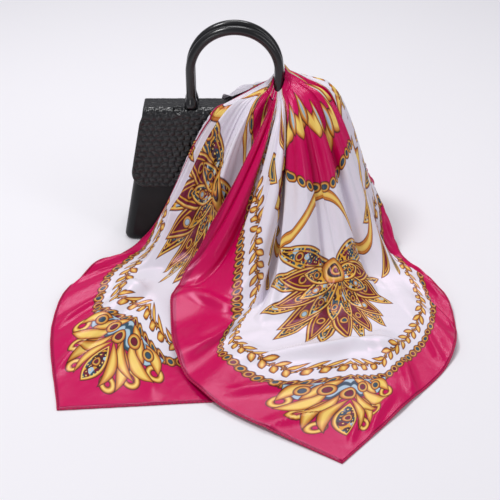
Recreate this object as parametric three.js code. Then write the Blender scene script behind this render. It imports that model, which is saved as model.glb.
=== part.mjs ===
// A silk square scarf pulled round the handles of a small handbag, so that it falls to the table all round.
// Millimetres, +Z up, +Y away from the viewer. The origin is the middle of the bag's base, on the table.
import * as THREE from "three";

// The cloth
const WALL = 1.2; // thickness of the cloth as a solid
const SEAM = 0.4; // gap between neighbouring solids
const HEM_RADIUS = 1.3; // the rolled hem's own radius
const LIFT = 4.2; // how far the front fall rides above the left fall where it crosses it
const LIFT_ENDS = 40; // the height on the slope at which that ends
const SETTLES = 30; // the height below which the cloth eases onto the table
const TUCK = 12; // how far the left fall sinks behind the front fall on the slope

// The handbag
const BAG = {
  height: 178,
  baseWidth: 306,
  baseDepth: 100,
  topWidth: 236,
  topDepth: 36,
  corner: 14,
  edge: 6,
  cornerSteps: 6,
  edgeSteps: 4,
};
const FLAP = {
  thickness: 3,
  drop: 98,
  cornerRadius: 24,
  overlap: 4,
  inset: 2,
  bendSteps: 5,
  dropSteps: 10,
  across: 6,
};
const HANDLE = { span: 114, height: 104, radius: 6, apart: 20, sides: 10, legSteps: 3, archSteps: 24 };

// The gathered neck, a ring of cloth round both right-hand legs of the handles
const NECK = { x: HANDLE.span / 2, y: 0, inner: HANDLE.radius + 0.5, outer: HANDLE.radius + 9 };
const COLLAR = { rise: 9, wall: 2, gather: 0.6, clear: 0.92, turns: 72, steps: 3 };

// How the cloth falls in each direction from the neck. Bearings are in degrees round the neck: 0 is towards the
// viewer and 90 is to the right. crest is the height at the neck and slope how fast it sinks from there, shoulder
// is where the fall starts and foot where it lands.
const FALLS = [
  { bearing: -135, crest: 216, slope: 0.5, shoulder: 50, foot: 190 },
  { bearing: -95, crest: 222, slope: 0.55, shoulder: 60, foot: 205 },
  { bearing: -78, crest: 222, slope: 0.5, shoulder: 76, foot: 212 },
  { bearing: -68, crest: 220, slope: 0.45, shoulder: 66, foot: 216 },
  { bearing: -35, crest: 208, slope: 0.2, shoulder: 14, foot: 224 },
  { bearing: 0, crest: 202, slope: 0.1, shoulder: 10, foot: 240 },
  { bearing: 30, crest: 216, slope: 0.2, shoulder: 24, foot: 226 },
  { bearing: 60, crest: 229, slope: 0.35, shoulder: 52, foot: 192 },
  { bearing: 90, crest: 234, slope: 0.4, shoulder: 62, foot: 166 },
  { bearing: 125, crest: 228, slope: 0.5, shoulder: 44, foot: 160 },
  { bearing: 180, crest: 216, slope: 0.45, shoulder: 30, foot: 146 },
  { bearing: 225, crest: 216, slope: 0.5, shoulder: 50, foot: 190 },
  { bearing: 265, crest: 222, slope: 0.55, shoulder: 60, foot: 205 },
  { bearing: 282, crest: 222, slope: 0.5, shoulder: 76, foot: 212 },
];

// The hem seen from above, one row for each turn of it: neck is the bearing at which the thread to that point
// leaves the neck. The corners of the square are marked.
const OUTER_HEM = [
  { neck: -18, x: -30, y: -110 },
  { neck: -15, x: -45, y: -130 },
  { neck: -11, x: -62, y: -152 },
  { neck: -7, x: -74, y: -178 },
  { neck: -1, x: -77, y: -214 },
  { neck: 9, x: -63, y: -312 },
  { neck: 18, x: -21, y: -381 },
  { neck: 34, x: 114, y: -471, corner: true },
  { neck: 46, x: 194, y: -380 },
  { neck: 54, x: 247, y: -315 },
  { neck: 61, x: 267, y: -248 },
  { neck: 68, x: 260, y: -165 },
  { neck: 78, x: 226, y: -99 },
  { neck: 90, x: 203, y: -42 },
  { neck: 103, x: 193, y: 14 },
  { neck: 118, x: 183, y: 72 },
  { neck: 132, x: 190, y: 140 },
  { neck: 148, x: 170, y: 238, corner: true },
  { neck: 168, x: 104, y: 222 },
  { neck: 192, x: 30, y: 212 },
  { neck: 216, x: -38, y: 206 },
  { neck: 246, x: -92, y: 176 },
  { neck: 272, x: -108, y: 122 },
];
const LEFT_HEM = [
  { neck: -82, x: -128, y: -60 },
  { neck: -76, x: -148, y: -82 },
  { neck: -72, x: -175, y: -110 },
  { neck: -66, x: -210, y: -169 },
  { neck: -60, x: -219, y: -250 },
  { neck: -49, x: -190, y: -391, corner: true },
  { neck: -39, x: -102, y: -384 },
  { neck: -30, x: -40, y: -379 },
  { neck: -22, x: 4, y: -377 },
];

// The folds, one row each: thread is the bearing at the neck of the thread that the fold follows, width is its half
// width in the same degrees, height is how far it stands out, and from and to are distances from the neck.
const OUTER_FOLDS = [
  { thread: -13, width: 6, height: 6, from: 30, to: 300 },
  { thread: -4, width: 5, height: -7, from: 24, to: 230 },
  { thread: 5, width: 7, height: 10, from: 20, to: 270 },
  { thread: 13, width: 6, height: -9, from: 22, to: 240 },
  { thread: 22, width: 9, height: 11, from: 18, to: 240 },
  { thread: 34, width: 6, height: -5, from: 34, to: 210 },
  { thread: 43, width: 8, height: 7, from: 30, to: 240 },
  { thread: 53, width: 5, height: -9, from: 50, to: 240 },
  { thread: 63, width: 9, height: 9, from: 26, to: 270 },
  { thread: 74, width: 6, height: -7, from: 60, to: 230 },
  { thread: 84, width: 8, height: 7, from: 30, to: 210 },
  { thread: 96, width: 7, height: -8, from: 60, to: 190 },
  { thread: 110, width: 8, height: 8, from: 24, to: 230 },
  { thread: 124, width: 7, height: -9, from: 60, to: 210 },
  { thread: 138, width: 9, height: 10, from: 24, to: 240 },
  { thread: 154, width: 8, height: -8, from: 40, to: 220 },
  { thread: 171, width: 9, height: 9, from: 30, to: 230 },
  { thread: 188, width: 8, height: -7, from: 40, to: 210 },
  { thread: 204, width: 9, height: 10, from: 30, to: 240 },
  { thread: 220, width: 8, height: -6, from: 60, to: 220 },
  { thread: 236, width: 8, height: 8, from: 40, to: 240 },
  { thread: 250, width: 7, height: -6, from: 40, to: 200 },
  { thread: 263, width: 7, height: 6, from: 40, to: 220 },
  { thread: -3, width: 6, height: 7, from: 180, to: 320 },
  { thread: 8, width: 5, height: 8, from: 210, to: 420 },
  { thread: 16, width: 4, height: 5, from: 230, to: 470 },
  { thread: 27, width: 7, height: 6, from: 210, to: 400 },
  { thread: 44, width: 5, height: 6, from: 220, to: 470 },
  { thread: 57, width: 4, height: 8, from: 210, to: 440 },
  { thread: 65, width: 4, height: 6, from: 200, to: 380 },
];
const LEFT_FOLDS = [
  { thread: -76, width: 6, height: 4, from: 40, to: 240 },
  { thread: -70, width: 5, height: -7, from: 40, to: 220 },
  { thread: -63, width: 7, height: 10, from: 26, to: 250 },
  { thread: -54, width: 6, height: -8, from: 30, to: 220 },
  { thread: -46, width: 6, height: 7, from: 26, to: 240 },
  { thread: -37, width: 5, height: -6, from: 40, to: 200 },
  { thread: -71, width: 4, height: 9, from: 190, to: 330 },
  { thread: -64, width: 4, height: 7, from: 200, to: 400 },
  { thread: -56, width: 4, height: 9, from: 190, to: 430 },
  { thread: -45, width: 5, height: 5, from: 220, to: 440 },
];
const FOLD_ENDS = { rise: 0.35, fade: 0.45 }; // the shares of a fold's length over which it rises and fades
const BEND = 0.42; // how far out a thread keeps its first bearing, as a share of its length
const PLEATS = { height: 0.8, every: 20, fade: 70 }; // the small gathers next to the neck, every so many degrees

// How finely each stretch is drawn
const GRIDS = {
  front_fall: { across: 46, along: 25 },
  back_fall: { across: 38, along: 19 },
  left_fall: { across: 30, along: 24 },
};
const FRONT_END = 79; // the bearing at which the front fall passes into the back fall
const SEAM_ANGLE = 3.5; // the gap between them, in degrees round the neck

const SILK = new THREE.MeshStandardMaterial({ color: 0xf2ecf4, roughness: 0.35 });
const BORDER = new THREE.MeshStandardMaterial({ color: 0xd41a68, roughness: 0.35 });
const LEATHER = new THREE.MeshStandardMaterial({ color: 0x141416, roughness: 0.45 });

const radians = THREE.MathUtils.degToRad;
const ease = (low, high, at) => THREE.MathUtils.smoothstep(at, low, high);
const bearingOf = (x, y) => THREE.MathUtils.radToDeg(Math.atan2(x - NECK.x, NECK.y - y));
const inPlan = (bearing, reach) =>
  new THREE.Vector2(NECK.x + reach * Math.sin(radians(bearing)), NECK.y - reach * Math.cos(radians(bearing)));

const bagSize = (z) => ({
  width: THREE.MathUtils.lerp(BAG.baseWidth, BAG.topWidth, Math.min(z / BAG.height, 1)),
  depth: THREE.MathUtils.lerp(BAG.baseDepth, BAG.topDepth, Math.min(z / BAG.height, 1)),
});

// The distance from the neck's centre to a ring that keeps one distance from both legs' middles.
function ringAt(bearing, radius) {
  const [across, along] = [Math.abs(Math.sin(radians(bearing))), Math.abs(Math.cos(radians(bearing)))];
  const half = HANDLE.apart / 2;
  if (radius * along <= half * across) return radius / across;
  return half * along + Math.sqrt(radius ** 2 - (half * across) ** 2);
}

// Reads a column of a table at a key between its rows, smoothly, with a sharp turn where a row is a corner.
function read(rows, key, column, at) {
  let i = rows.findIndex((row) => row[key] > at);
  i = i < 0 ? rows.length - 2 : Math.max(i - 1, 0);
  const [a, b] = [rows[i], rows[i + 1]];
  const span = b[key] - a[key];
  const slope = (one, two) => (two[column] - one[column]) / (two[key] - one[key]);
  const before = i > 0 && !a.corner ? slope(rows[i - 1], b) : slope(a, b);
  const after = i + 2 < rows.length && !b.corner ? slope(a, rows[i + 2]) : slope(a, b);
  const t = THREE.MathUtils.clamp((at - a[key]) / span, 0, 1);
  return (
    a[column] * (1 + 2 * t) * (1 - t) ** 2 +
    b[column] * t ** 2 * (3 - 2 * t) +
    span * (before * t * (1 - t) ** 2 - after * t ** 2 * (1 - t))
  );
}

// The height of the plain fall at a place in plan: a bell from the crest to the table.
function fallHeight(bearing, reach) {
  const column = (name) => read(FALLS, "bearing", name, bearing);
  const [shoulder, foot] = [column("shoulder"), column("foot")];
  const down = THREE.MathUtils.clamp((reach - shoulder) / (foot - shoulder), 0, 1);
  const crest = column("crest") - column("slope") * Math.min(reach, foot);
  return WALL + (crest - WALL) * 0.5 * (1 + Math.cos(Math.PI * down));
}

// How far a table of folds pushes the cloth out, on one thread at one distance from the neck.
function foldHeight(folds, thread, reach) {
  let height = 0;
  for (const fold of folds) {
    const off = Math.abs(thread - fold.thread) / fold.width;
    if (off >= 1 || reach <= fold.from || reach >= fold.to) continue;
    const length = fold.to - fold.from;
    const rise = ease(fold.from, fold.from + FOLD_ENDS.rise * length, reach);
    const end = 1 - ease(fold.to - FOLD_ENDS.fade * length, fold.to, reach);
    height += fold.height * Math.cos((Math.PI / 2) * off) ** 2 * rise * end;
  }
  const gather = PLEATS.height * Math.exp(-reach / PLEATS.fade);
  return height + gather * Math.cos((2 * Math.PI * thread) / PLEATS.every);
}

// Keeps a point of the cloth's outer face clear of the bag and its flap, as if their edges were rounded.
const CLEAR = { gap: FLAP.thickness + SEAM + WALL + 5, round: 8 };
const LEAN = Math.atan2((BAG.baseDepth - BAG.topDepth) / 2, BAG.height); // of the bag's front and back
function clearOfBag(point, side) {
  if (Math.abs(point.x) > bagSize(point.z).width / 2 + CLEAR.gap) return point;
  const out = new THREE.Vector2(Math.cos(LEAN), Math.sin(LEAN)); // across and up, off the front or back
  const offFace = (side * point.y - BAG.topDepth / 2) * out.x + (point.z - BAG.height) * out.y;
  const offTop = point.z - BAG.height;
  const face = Math.max(offFace + CLEAR.round, 0);
  const top = Math.max(offTop + CLEAR.round, 0);
  const off = Math.hypot(face, top);
  const depth = off > 0 ? off - CLEAR.round : Math.max(offFace, offTop);
  const short = CLEAR.gap - depth;
  if (short <= 0) return point;
  const [across, up] = off > 0 ? [(face * out.x) / off, (face * out.y + top) / off] : [out.x, out.y];
  point.y += side * across * short;
  point.z += up * short;
  return point;
}

// How far a place on the left fall lies under the front fall, from 0 outside its left hem to 1 behind it.
const COVER = [
  { reach: 15, bearing: -18 },
  { reach: 80, bearing: -27 },
  { reach: 119, bearing: -31 },
  { reach: 140, bearing: -38 },
  { reach: 193, bearing: -38 },
  { reach: 252, bearing: -32 },
  { reach: 334, bearing: -21 },
  { reach: 389, bearing: -12 },
];
const COVER_EDGE = { begins: 17, full: 4 }; // degrees outside that hem
function under(bearing, reach) {
  const hem = read(COVER, "reach", "bearing", reach);
  return ease(hem - COVER_EDGE.begins, hem - COVER_EDGE.full, bearing);
}

const liftOver = (bearing) => LIFT * (1 - ease(-6, 8, bearing));

// The two sheets. A thread leaves the neck at its own bearing and bends to its point on the hem.
const SHEETS = {
  outer: { hem: OUTER_HEM, folds: OUTER_FOLDS, lift: liftOver, tucked: () => 0 },
  left: { hem: LEFT_HEM, folds: LEFT_FOLDS, lift: () => 0, tucked: under, side: -1 },
};

function plainPlace(sheet, thread, along) {
  const hem = new THREE.Vector2(read(sheet.hem, "neck", "x", thread), read(sheet.hem, "neck", "y", thread));
  const ring = ringAt(thread, NECK.outer);
  const start = inPlan(thread, ring);
  const bend = inPlan(thread, ring + BEND * hem.distanceTo(start));
  const plan = start
    .multiplyScalar((1 - along) ** 2)
    .addScaledVector(bend, 2 * along * (1 - along))
    .addScaledVector(hem, along ** 2);
  let bearing = bearingOf(plan.x, plan.y);
  if (bearing < thread - 180) bearing += 360;
  const reach = Math.hypot(plan.x - NECK.x, plan.y - NECK.y);
  const height = fallHeight(bearing, reach);
  const slope = 1 - ease(WALL, LIFT_ENDS, height);
  return { point: new THREE.Vector3(plan.x, plan.y, height + sheet.lift(bearing) * slope), bearing, reach };
}
const plainPoint = (sheet, thread, along) => plainPlace(sheet, thread, along).point;

// The unit normal of a sheet, out and up, where place gives its points. It never looks past an end thread.
const NORMAL_STEP = { thread: 0.4, along: 0.01 };
function normalAt(place, sheet, thread, along) {
  const [first, last] = [sheet.hem[0].neck, sheet.hem.at(-1).neck];
  const at = (t, s) => place(sheet, THREE.MathUtils.clamp(t, first, last), Math.max(s, 0));
  const across = at(thread + NORMAL_STEP.thread, along).sub(at(thread - NORMAL_STEP.thread, along));
  const down = at(thread, along + NORMAL_STEP.along).sub(at(thread, along - NORMAL_STEP.along));
  return down.cross(across).normalize();
}

function clothPoint(sheet, thread, along) {
  const { point, bearing, reach } = plainPlace(sheet, thread, along);
  const normal = normalAt(plainPoint, sheet, thread, along);
  const onSlope = ease(WALL, SETTLES, point.z);
  const tucked = sheet.tucked(bearing, reach);
  const sink = TUCK * tucked * onSlope * ease(NECK.outer, 3 * NECK.outer, reach);
  const push = foldHeight(sheet.folds, thread, reach) * (1 - tucked) - sink;
  point.addScaledVector(normal, push);
  point.z = Math.max(point.z, WALL + sheet.lift(bearing) * (1 - onSlope));
  return clearOfBag(point, sheet.side || Math.sign(point.y));
}

// A closed wall from a grid of outer points and the matching inner points.
function wallGeometry(outer, inner) {
  const [rows, columns] = [outer.length, outer[0].length];
  const points = [...outer.flat(), ...inner.flat()];
  const at = (side, i, j) => side * rows * columns + i * columns + j;
  const index = [];
  const quad = (a, b, c, d) => index.push(a, b, c, a, c, d);
  for (let i = 0; i + 1 < rows; i++)
    for (let j = 0; j + 1 < columns; j++) {
      quad(at(0, i, j), at(0, i + 1, j), at(0, i + 1, j + 1), at(0, i, j + 1));
      quad(at(1, i, j), at(1, i, j + 1), at(1, i + 1, j + 1), at(1, i + 1, j));
    }
  const rim = (i, j, k, l) => quad(at(0, i, j), at(0, k, l), at(1, k, l), at(1, i, j));
  for (let i = 0; i + 1 < rows; i++) {
    rim(i + 1, 0, i, 0);
    rim(i, columns - 1, i + 1, columns - 1);
  }
  for (let j = 0; j + 1 < columns; j++) {
    rim(0, j, 0, j + 1);
    rim(rows - 1, j + 1, rows - 1, j);
  }
  return geometryOf(points, index);
}

function geometryOf(points, index) {
  const geometry = new THREE.BufferGeometry().setFromPoints(points);
  geometry.setIndex(index);
  geometry.computeVertexNormals();
  return geometry;
}

// Evenly spaced threads between two of them, with one moved onto each corner of the square.
function threadsBetween(sheet, from, to, count) {
  const threads = Array.from({ length: count + 1 }, (_, j) => THREE.MathUtils.lerp(from, to, j / count));
  for (const { neck } of sheet.hem.filter((row) => row.corner && row.neck > from && row.neck < to))
    threads[Math.round((count * (neck - from)) / (to - from))] = neck;
  return threads;
}

// One stretch of a sheet, between two threads, as a wall that rests flat where it touches the table.
function stretch(sheet, from, to, { across, along }) {
  const threads = threadsBetween(sheet, from, to, across);
  const outer = [];
  const inner = [];
  for (let i = 0; i <= along; i++) {
    outer.push(threads.map((thread) => clothPoint(sheet, thread, i / along)));
    inner.push(
      threads.map((thread, j) => {
        const normal = normalAt(clothPoint, sheet, thread, i / along);
        const point = outer[i][j].clone().addScaledVector(normal, -WALL);
        point.z = Math.max(point.z, 0);
        return point;
      }),
    );
  }
  return wallGeometry(outer, inner);
}

// A closed solid through a row of rings, each with the same number of points.
function loftGeometry(rings) {
  const sides = rings[0].length;
  const index = [];
  for (let i = 0; i + 1 < rings.length; i++)
    for (let k = 0; k < sides; k++) {
      const [a, b] = [i * sides + k, i * sides + ((k + 1) % sides)];
      index.push(a, b, b + sides, a, b + sides, a + sides);
    }
  const last = (rings.length - 1) * sides;
  for (let k = 1; k + 1 < sides; k++) {
    index.push(0, k + 1, k);
    index.push(last, last + k, last + k + 1);
  }
  return geometryOf(rings.flat(), index);
}

// A round bar along a path, closed by flat ends. sideOf gives a direction square to the path's own.
function barGeometry(path, radius, sides, sideOf) {
  const rings = path.map((p, i) => {
    const tangent = path[Math.min(i + 1, path.length - 1)].clone().sub(path[Math.max(i - 1, 0)]).normalize();
    const side = sideOf(tangent);
    const up = tangent.clone().cross(side).normalize();
    return Array.from({ length: sides }, (_, k) => {
      const turn = (2 * Math.PI * (k + 0.5)) / sides;
      const [aside, above] = [radius * Math.cos(turn), radius * Math.sin(turn)];
      return p.clone().addScaledVector(side, aside).addScaledVector(up, above);
    });
  });
  return loftGeometry(rings);
}

// The rolled hem of a stretch, just outside the cloth's edge. It may start partway up the first thread.
const HEM_STARTS = 0.3; // how far along the first thread
const HEM_SIDES = 6;
function hemGeometry(sheet, from, to, { across, along: rows }, upTheSide) {
  const stations = threadsBetween(sheet, from, to, across).map((thread) => [thread, 1]);
  if (upTheSide) for (let i = rows - 1; i > HEM_STARTS * rows; i--) stations.unshift([from, i / rows]);
  const edge = stations.map(([thread, along]) => clothPoint(sheet, thread, along));
  const path = stations.map(([thread, along], k) => {
    const tangent = edge[Math.min(k + 1, edge.length - 1)].clone().sub(edge[Math.max(k - 1, 0)]).normalize();
    const normal = normalAt(clothPoint, sheet, thread, along);
    const out = tangent.cross(normal).normalize();
    const atCorner = along === 1 && sheet.hem.some((row) => row.corner && row.neck === thread);
    const centre = edge[k].clone().addScaledVector(normal, -WALL / 2);
    centre.addScaledVector(out, (HEM_RADIUS + 2 * SEAM) * (atCorner ? Math.SQRT2 : 1));
    centre.z = Math.max(centre.z, HEM_RADIUS);
    return centre;
  });
  return barGeometry(path, HEM_RADIUS, HEM_SIDES, (t) => new THREE.Vector3(-t.y, t.x, 0).normalize());
}

// The gathered neck: a ring of cloth that rises from the falls to the handles' legs and curls in on them.
function neckGeometry() {
  const points = [];
  for (let i = 0; i < COLLAR.turns; i++) {
    const bearing = (360 * i) / COLLAR.turns - 90;
    const gather = COLLAR.gather * Math.cos((2 * Math.PI * bearing) / PLEATS.every);
    const edge = fallHeight(bearing, ringAt(bearing, NECK.outer));
    const wall = (out, down) => {
      const radius = THREE.MathUtils.lerp(NECK.inner, NECK.outer - COLLAR.clear, out);
      const plan = inPlan(bearing, ringAt(bearing, radius));
      const rise = COLLAR.rise * (1 - out) ** 2 + gather * out;
      points.push(new THREE.Vector3(plan.x, plan.y, edge + rise - down));
    };
    for (let k = 0; k <= COLLAR.steps; k++) wall(k / COLLAR.steps, 0);
    for (let k = COLLAR.steps; k >= 0; k--) wall(k / COLLAR.steps, COLLAR.wall);
  }
  const sides = 2 * (COLLAR.steps + 1);
  const index = [];
  for (let i = 0; i < COLLAR.turns; i++)
    for (let k = 0; k < sides; k++) {
      const next = (i + 1) % COLLAR.turns;
      const [a, b] = [i * sides + k, i * sides + ((k + 1) % sides)];
      const [c, d] = [next * sides + ((k + 1) % sides), next * sides + k];
      index.push(a, c, d, a, b, c);
    }
  return geometryOf(points, index);
}

// A rounded rectangle in plan at one height, with the same number of points whatever its size.
function roundedRing(width, depth, radius, z) {
  const points = [];
  const { cornerSteps } = BAG;
  for (let quarter = 0; quarter < 4; quarter++)
    for (let k = 0; k <= cornerSteps; k++) {
      const turn = ((quarter + k / cornerSteps) * Math.PI) / 2;
      const [sx, sy] = [[1, 1], [-1, 1], [-1, -1], [1, -1]][quarter];
      points.push(
        new THREE.Vector3(
          sx * (width / 2 - radius) + radius * Math.cos(turn),
          sy * (depth / 2 - radius) + radius * Math.sin(turn),
          z,
        ),
      );
    }
  return points;
}

function bagBodyGeometry() {
  const rings = [];
  const { edgeSteps } = BAG;
  const ringAt = (z, inset) => {
    const { width, depth } = bagSize(z);
    return roundedRing(width - 2 * inset, depth - 2 * inset, BAG.corner - inset, z);
  };
  for (let k = 0; k <= edgeSteps; k++) {
    const turn = (k / edgeSteps) * (Math.PI / 2);
    rings.push(ringAt(BAG.edge * (1 - Math.sin(turn)), BAG.edge * (1 - Math.cos(turn))));
  }
  rings.reverse();
  for (let k = 0; k <= edgeSteps; k++) {
    const turn = (k / edgeSteps) * (Math.PI / 2);
    rings.push(ringAt(BAG.height - BAG.edge * (1 - Math.sin(turn)), BAG.edge * (1 - Math.cos(turn))));
  }
  rings.sort((a, b) => a[0].z - b[0].z);
  return loftGeometry(rings);
}

// The flap: a wall over the bag's top and down its front, with round lower corners.
function flapGeometry() {
  const bend = BAG.edge + SEAM;
  const path = []; // inner line in the YZ plane, from the back edge of the top to the flap's lower edge
  const topY = BAG.topDepth / 2 - FLAP.inset;
  const topZ = BAG.height + SEAM;
  const flat = topY + BAG.topDepth / 2 - (BAG.edge * (1 - Math.sin(LEAN))) / Math.cos(LEAN);
  const arc = bend * (Math.PI / 2 - LEAN);
  const stations = [0, flat / 2];
  for (let k = 0; k < FLAP.bendSteps; k++) stations.push(flat + (arc * k) / FLAP.bendSteps);
  for (let k = 0; k <= FLAP.dropSteps; k++)
    stations.push(flat + arc + FLAP.drop * Math.sin((k / FLAP.dropSteps) * (Math.PI / 2)));
  for (const s of stations) {
    if (s < flat) path.push({ y: topY - s, z: topZ, ny: 0, nz: 1 });
    else if (s < flat + arc) {
      const turn = (s - flat) / bend;
      path.push({
        y: topY - flat - bend * Math.sin(turn),
        z: topZ - bend + bend * Math.cos(turn),
        ny: -Math.sin(turn),
        nz: Math.cos(turn),
      });
    } else {
      const down = s - flat - arc;
      const turn = Math.PI / 2 - LEAN;
      path.push({
        y: topY - flat - bend * Math.sin(turn) - down * Math.sin(LEAN),
        z: topZ - bend + bend * Math.cos(turn) - down * Math.cos(LEAN),
        ny: -Math.sin(turn),
        nz: Math.cos(turn),
        down,
      });
    }
  }
  const outer = [];
  const inner = [];
  for (const { y, z, ny, nz, down = 0 } of path) {
    const left = FLAP.drop - down;
    const round = FLAP.cornerRadius;
    const inset = left < round ? round - Math.sqrt(Math.max(round ** 2 - (round - left) ** 2, 0)) : 0;
    const half = bagSize(Math.min(z, BAG.height)).width / 2 - (down ? 0 : FLAP.inset) + FLAP.overlap - inset;
    const line = (out) =>
      Array.from({ length: FLAP.across + 1 }, (_, j) => {
        const x = THREE.MathUtils.lerp(-half, half, j / FLAP.across);
        return new THREE.Vector3(x, y + ny * out, z + nz * out);
      });
    outer.push(line(FLAP.thickness));
    inner.push(line(0));
  }
  return wallGeometry(outer, inner);
}

// One handle: two straight legs and a round arch between them.
function handleGeometry(y) {
  const half = HANDLE.span / 2;
  const foot = BAG.height + 2 * SEAM + FLAP.thickness;
  const spring = foot + HANDLE.height - half;
  const path = [];
  const { legSteps, archSteps } = HANDLE;
  for (let k = 0; k < legSteps; k++)
    path.push(new THREE.Vector3(-half, y, THREE.MathUtils.lerp(foot, spring, k / legSteps)));
  for (let k = 0; k <= archSteps; k++) {
    const turn = Math.PI * (1 - k / archSteps);
    path.push(new THREE.Vector3(half * Math.cos(turn), y, spring + half * Math.sin(turn)));
  }
  for (let k = 1; k <= legSteps; k++)
    path.push(new THREE.Vector3(half, y, THREE.MathUtils.lerp(spring, foot, k / legSteps)));
  return barGeometry(path, HANDLE.radius, HANDLE.sides, () => new THREE.Vector3(0, 1, 0));
}

const scarf = new THREE.Group();
const bag = new THREE.Group();
const add = (group, name, geometry, material) => {
  const mesh = new THREE.Mesh(geometry, material);
  mesh.name = name;
  group.add(mesh);
};

const { outer, left } = SHEETS;
const [firstOuter, lastOuter] = [OUTER_HEM[0].neck, OUTER_HEM.at(-1).neck];
const [firstLeft, lastLeft] = [LEFT_HEM[0].neck, LEFT_HEM.at(-1).neck];
add(scarf, "front_fall", stretch(outer, firstOuter, FRONT_END, GRIDS.front_fall), SILK);
add(scarf, "back_fall", stretch(outer, FRONT_END + SEAM_ANGLE, lastOuter, GRIDS.back_fall), SILK);
add(scarf, "left_fall", stretch(left, firstLeft, lastLeft, GRIDS.left_fall), SILK);
add(scarf, "neck", neckGeometry(), SILK);
add(scarf, "front_hem", hemGeometry(outer, firstOuter, FRONT_END, GRIDS.front_fall, true), BORDER);
add(scarf, "back_hem", hemGeometry(outer, FRONT_END + SEAM_ANGLE, lastOuter, GRIDS.back_fall, false), BORDER);
add(scarf, "left_hem", hemGeometry(left, firstLeft, lastLeft, GRIDS.left_fall, true), BORDER);
add(bag, "bag_body", bagBodyGeometry(), LEATHER);
add(bag, "bag_flap", flapGeometry(), LEATHER);
add(bag, "handle_front", handleGeometry(-HANDLE.apart / 2), LEATHER);
add(bag, "handle_back", handleGeometry(HANDLE.apart / 2), LEATHER);

const part = new THREE.Group();
part.add(scarf, bag);
export default part;
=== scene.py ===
"""Dresses the silk square scarf on its handbag. The tables are the part's own, in millimetres and degrees."""

import math

import bpy
import numpy as np
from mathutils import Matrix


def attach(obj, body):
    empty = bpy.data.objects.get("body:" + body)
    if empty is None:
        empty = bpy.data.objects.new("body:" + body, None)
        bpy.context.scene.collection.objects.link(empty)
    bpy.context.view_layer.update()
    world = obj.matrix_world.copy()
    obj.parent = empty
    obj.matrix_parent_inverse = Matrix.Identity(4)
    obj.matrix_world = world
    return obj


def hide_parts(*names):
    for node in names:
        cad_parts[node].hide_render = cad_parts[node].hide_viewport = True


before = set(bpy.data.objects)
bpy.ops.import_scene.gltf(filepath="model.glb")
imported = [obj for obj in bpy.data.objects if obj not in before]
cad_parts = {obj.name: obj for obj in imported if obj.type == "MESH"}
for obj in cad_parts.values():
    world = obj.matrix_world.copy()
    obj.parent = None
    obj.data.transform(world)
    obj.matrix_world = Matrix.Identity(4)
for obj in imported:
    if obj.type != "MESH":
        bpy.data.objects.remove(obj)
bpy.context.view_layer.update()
MM = 0.001

WALL = 1.2  # thickness of the cloth in the solids
SEAM = 0.4  # gap between neighbouring solids
LIFT = 4.2  # how far the front fall is lifted over the left one
LIFT_BEARINGS = (-6, 8)  # between these bearings the lift ends
LIFT_ENDS = 40  # the height on the slope at which it ends
SETTLES = 30  # the height below which the cloth eases onto the table
TUCK = 12  # how deep the left fall goes under the front one
TUCK_BEARINGS = (17, 4)  # it goes under between these angles before the front fall's hem
BAG = {"height": 178, "base_width": 306, "base_depth": 100, "top_width": 236, "top_depth": 36}
BAG.update(corner=14, edge=6)
FLAP = {"thickness": 3, "drop": 98, "corner_radius": 24, "overlap": 4}
HANDLE = {"span": 114, "height": 104, "radius": 6, "apart": 20, "tab": 0.5, "tab_top": 16, "tab_end": 2}
EYELET = {"x": -74, "y": -15, "wide": 6.5, "deep": 5.5, "floor": 0.6, "rim": 0.9}
SCALE = {"wide": 9.6, "high": 7.2, "shift": 0.32, "groove": 0.06, "dome": 0.5, "top": 0.5, "front": 1.2}
NECK = {"x": 57, "y": 0, "inner": 6.5, "outer": 15}
BEND = 0.42  # how soon the threads turn from straight out towards their place on the hem
FOLD_ENDS = (0.35, 0.45)  # the shares of a fold's length over which it rises and sinks
RIPPLE = {"height": 0.2, "fades": 70, "per_degree": 90}
CREASE_RISE = {"outer": 1.4, "left": 1.2}
LEFT_CREASES_OPEN = {"neck": 0.4, "from": 20, "to": 130}  # finer near the neck, where the threads crowd


def table(columns, text):
    rows = [[float(word) for word in line.split()] for line in text.strip().splitlines()]
    return {name: np.array(column) for name, column in zip(columns.split(), zip(*rows))}


# How the cloth falls in each direction from the neck
FALLS = table("bearing crest slope shoulder foot", """
-135 216 .5 50 190
-95 222 .55 60 205
-78 222 .5 76 212
-68 220 .45 66 216
-35 208 .2 14 224
0 202 .1 10 240
30 216 .2 24 226
60 229 .35 52 192
90 234 .4 62 166
125 228 .5 44 160
180 216 .45 30 146
225 216 .5 50 190
265 222 .55 60 205
282 222 .5 76 212
""")
OUTER_HEM = table("neck x y corner", """
-18 -30 -110 0
-15 -45 -130 0
-11 -62 -152 0
-7 -74 -178 0
-1 -77 -214 0
9 -63 -312 0
18 -21 -381 0
34 114 -471 1
46 194 -380 0
54 247 -315 0
61 267 -248 0
68 260 -165 0
78 226 -99 0
90 203 -42 0
103 193 14 0
118 183 72 0
132 190 140 0
148 170 238 1
168 104 222 0
192 30 212 0
216 -38 206 0
246 -92 176 0
272 -108 122 0
""")
LEFT_HEM = table("neck x y corner", """
-82 -128 -60 0
-76 -148 -82 0
-72 -175 -110 0
-66 -210 -169 0
-60 -219 -250 0
-49 -190 -391 1
-39 -102 -384 0
-30 -40 -379 0
-22 4 -377 0
""")
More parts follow.
